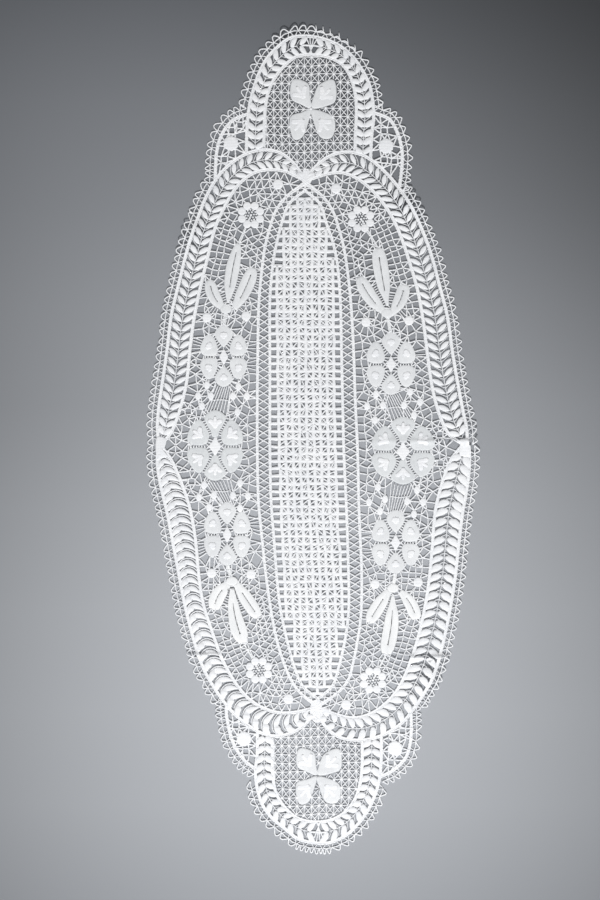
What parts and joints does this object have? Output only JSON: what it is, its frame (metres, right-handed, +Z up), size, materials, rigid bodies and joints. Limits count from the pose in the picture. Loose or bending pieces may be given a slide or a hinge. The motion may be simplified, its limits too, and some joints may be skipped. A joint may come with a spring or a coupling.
{
  "type": "bobbin lace runner",
  "caption": "Flat openwork lace runner: a pointed oval with rounded scalloped ends, an open-square centre, leafy border bands, raised flowers and leaves in a plaited net, and a looped edge.",
  "frame": {"origin": "on the underside, at the middle of the open-square centre panel", "axes": "+Y along the length of the runner, +X across it to the right, +Z up from the surface that it lies on"},
  "size_m": [0.2896, 0.7173, 0.0042],
  "materials": {
    "border_thread": "matt white linen thread worked as leaf pairs between plaited tapes",
    "cloth_thread": "matt white linen thread in close cloth stitch",
    "edging_thread": "matt white linen plaits with looped picots",
    "net_thread": "matt white linen plaits worked as open net"
  },
  "bodies": {
    "root": {"arch_bottom": "border_thread", "arch_top": "border_thread", "border_ll": "border_thread", "border_lr": "border_thread", "border_ul": "border_thread", "border_ur": "border_thread", "centre_band": "net_thread", "centre_grid": "cloth_thread", "flower_end_bottom": "cloth_thread", "flower_end_top": "cloth_thread", "flower_large_left": "cloth_thread", "flower_large_right": "cloth_thread", "flower_small_ll": "cloth_thread", "flower_small_lr": "cloth_thread", "flower_small_ul": "cloth_thread", "flower_small_ur": "cloth_thread", "leaves_ll": "cloth_thread", "leaves_lr": "cloth_thread", "leaves_ul": "cloth_thread", "leaves_ur": "cloth_thread", "lobe_ll": "net_thread", "lobe_lr": "net_thread", "lobe_ul": "net_thread", "lobe_ur": "net_thread", "net_end_bottom": "net_thread", "net_end_top": "net_thread", "net_left": "net_thread", "net_right": "net_thread", "picots_bottom": "edging_thread", "picots_lobe_ll": "edging_thread", "picots_lobe_lr": "edging_thread", "picots_lobe_ul": "edging_thread", "picots_lobe_ur": "edging_thread", "picots_side_ll": "edging_thread", "picots_side_lr": "edging_thread", "picots_side_ul": "edging_thread", "picots_side_ur": "edging_thread", "picots_top": "edging_thread", "rosette_ll": "cloth_thread", "rosette_lr": "cloth_thread", "rosette_ul": "cloth_thread", "rosette_ur": "cloth_thread", "spot_crossing_ll": "cloth_thread", "spot_crossing_lr": "cloth_thread", "spot_crossing_ul": "cloth_thread", "spot_crossing_ur": "cloth_thread", "spot_inner_ll": "cloth_thread", "spot_inner_lr": "cloth_thread", "spot_inner_ul": "cloth_thread", "spot_inner_ur": "cloth_thread", "spot_lobe_ll": "cloth_thread", "spot_lobe_lr": "cloth_thread", "spot_lobe_ul": "cloth_thread", "spot_lobe_ur": "cloth_thread", "spot_outer_ll": "cloth_thread", "spot_outer_lr": "cloth_thread", "spot_outer_ul": "cloth_thread", "spot_outer_ur": "cloth_thread"}
  },
  "joints": []
}
